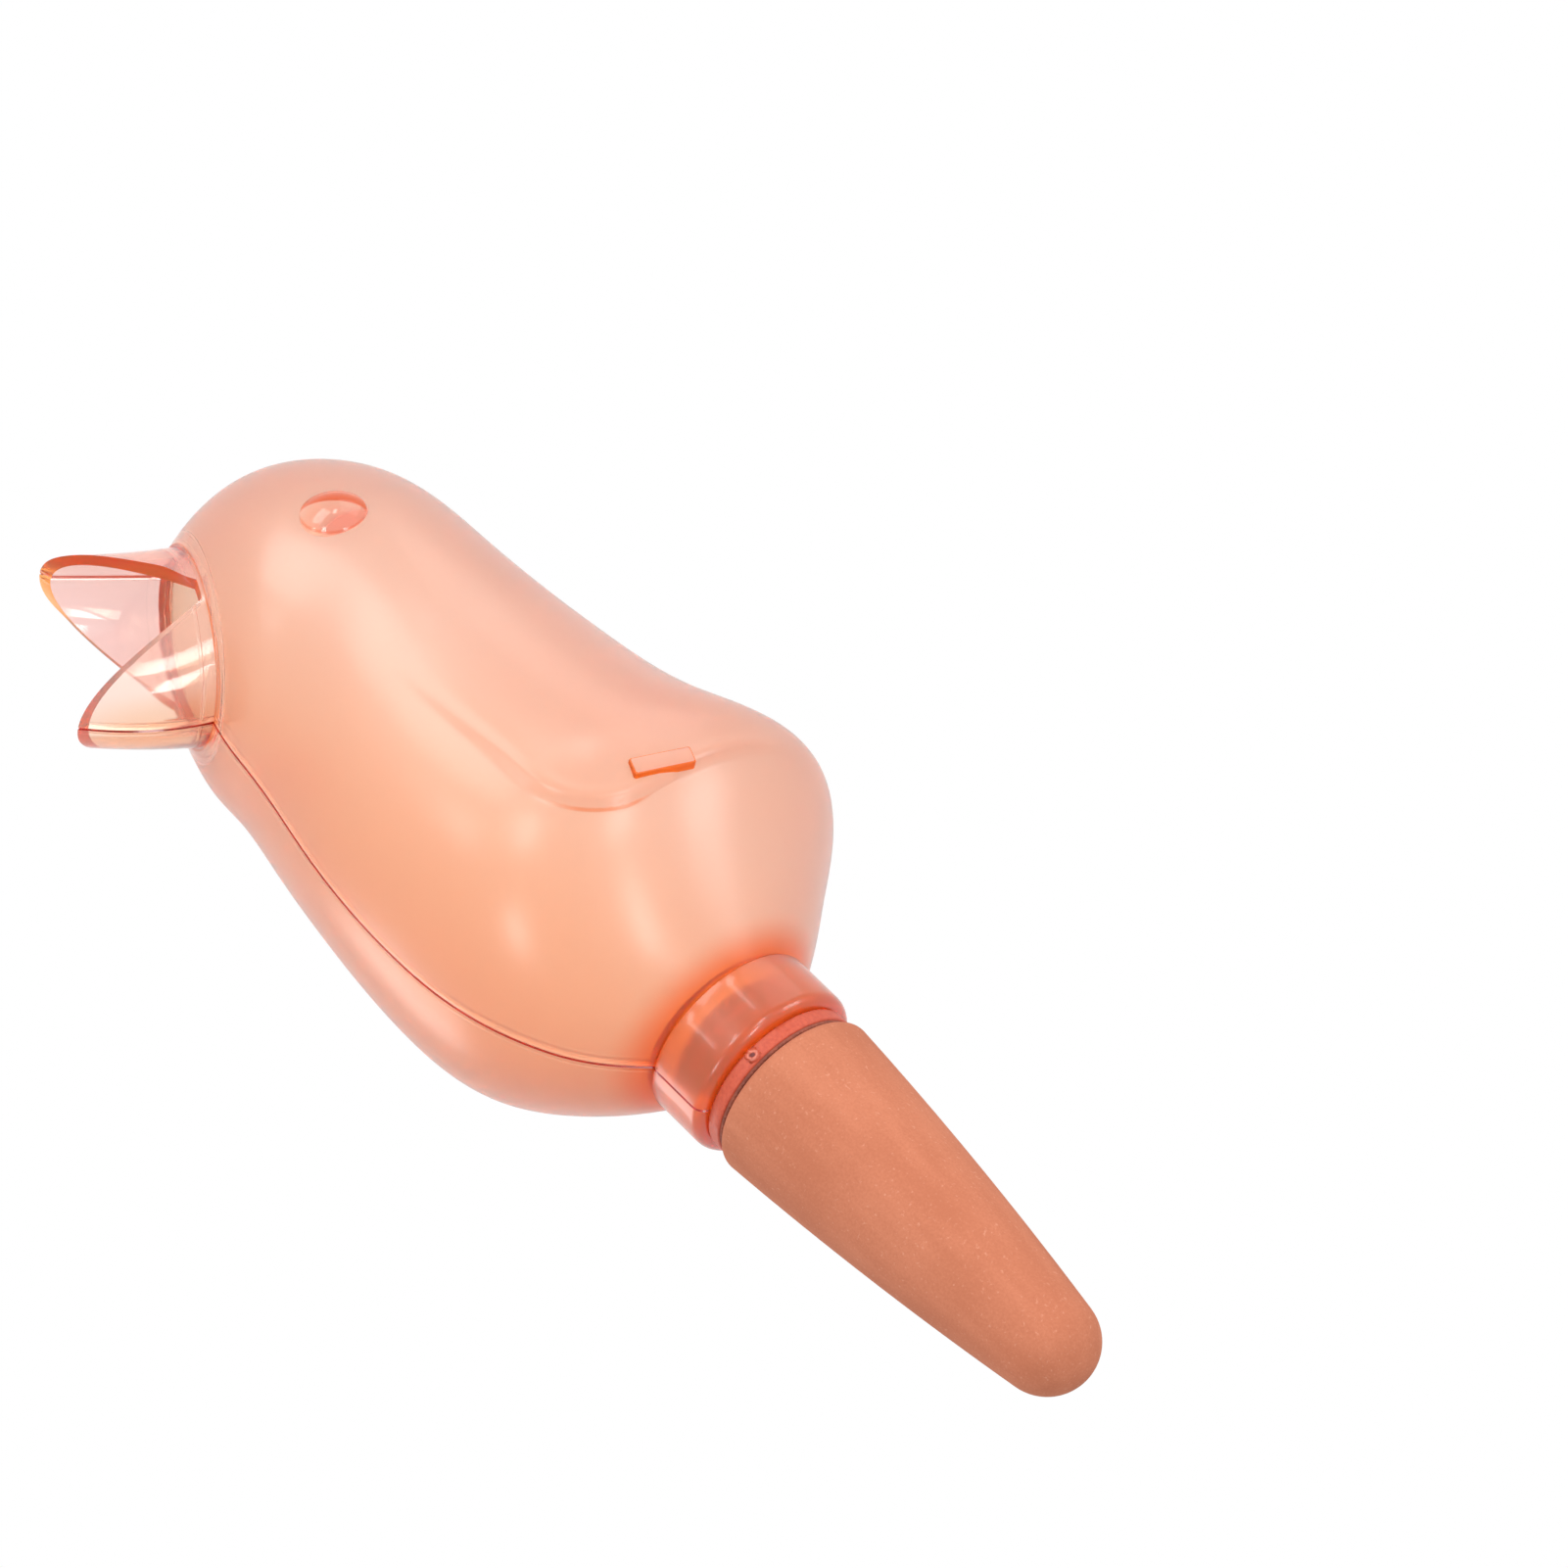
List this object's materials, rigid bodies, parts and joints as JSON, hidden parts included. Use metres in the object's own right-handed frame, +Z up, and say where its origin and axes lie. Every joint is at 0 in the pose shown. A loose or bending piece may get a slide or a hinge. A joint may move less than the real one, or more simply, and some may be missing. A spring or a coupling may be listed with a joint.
{
  "type": "self-watering spike",
  "caption": "Bird-shaped translucent watering bottle, filled through its open beak and screwed onto a tapered porous clay cone that lets water seep into a pot's soil.",
  "frame": {"origin": "on the spike's axis at the rim of the clay cone, where the soil line runs", "axes": "+Z up along the spike, the bird faces -Y, +X is the bird's left"},
  "size_m": [0.0764, 0.09, 0.2208],
  "materials": {
    "bottle_plastic": "satin translucent peach, glossy and clear at beak, eyes and neck",
    "seal_rubber": "matte",
    "adapter_plastic": "satin red-brown",
    "cement": "matte dark red-brown",
    "fired_clay": "matte porous terracotta"
  },
  "bodies": {
    "spike": {"clay_cone": "fired_clay", "cone_cement": "cement", "thread_adapter": "adapter_plastic"},
    "seal": {"sealing_ring": "seal_rubber"},
    "bottle": {"left_body_half": "bottle_plastic", "right_body_half": "bottle_plastic"}
  },
  "joints": [
    {"name": "bottle_turn", "type": "hinge", "parent": "spike", "child": "seal", "pos_m": [0, 0, 0], "axis": [0, 0, 1], "range_deg": [0, 720]},
    {"name": "bottle_rise", "type": "slide", "parent": "seal", "child": "bottle", "axis": [0, 0, 1], "range_m": [0, 0.00601]}
  ],
  "couplings": [
    {"joint": "bottle_rise", "follows": "bottle_turn", "m_per_rad": 0.00047746}
  ]
}
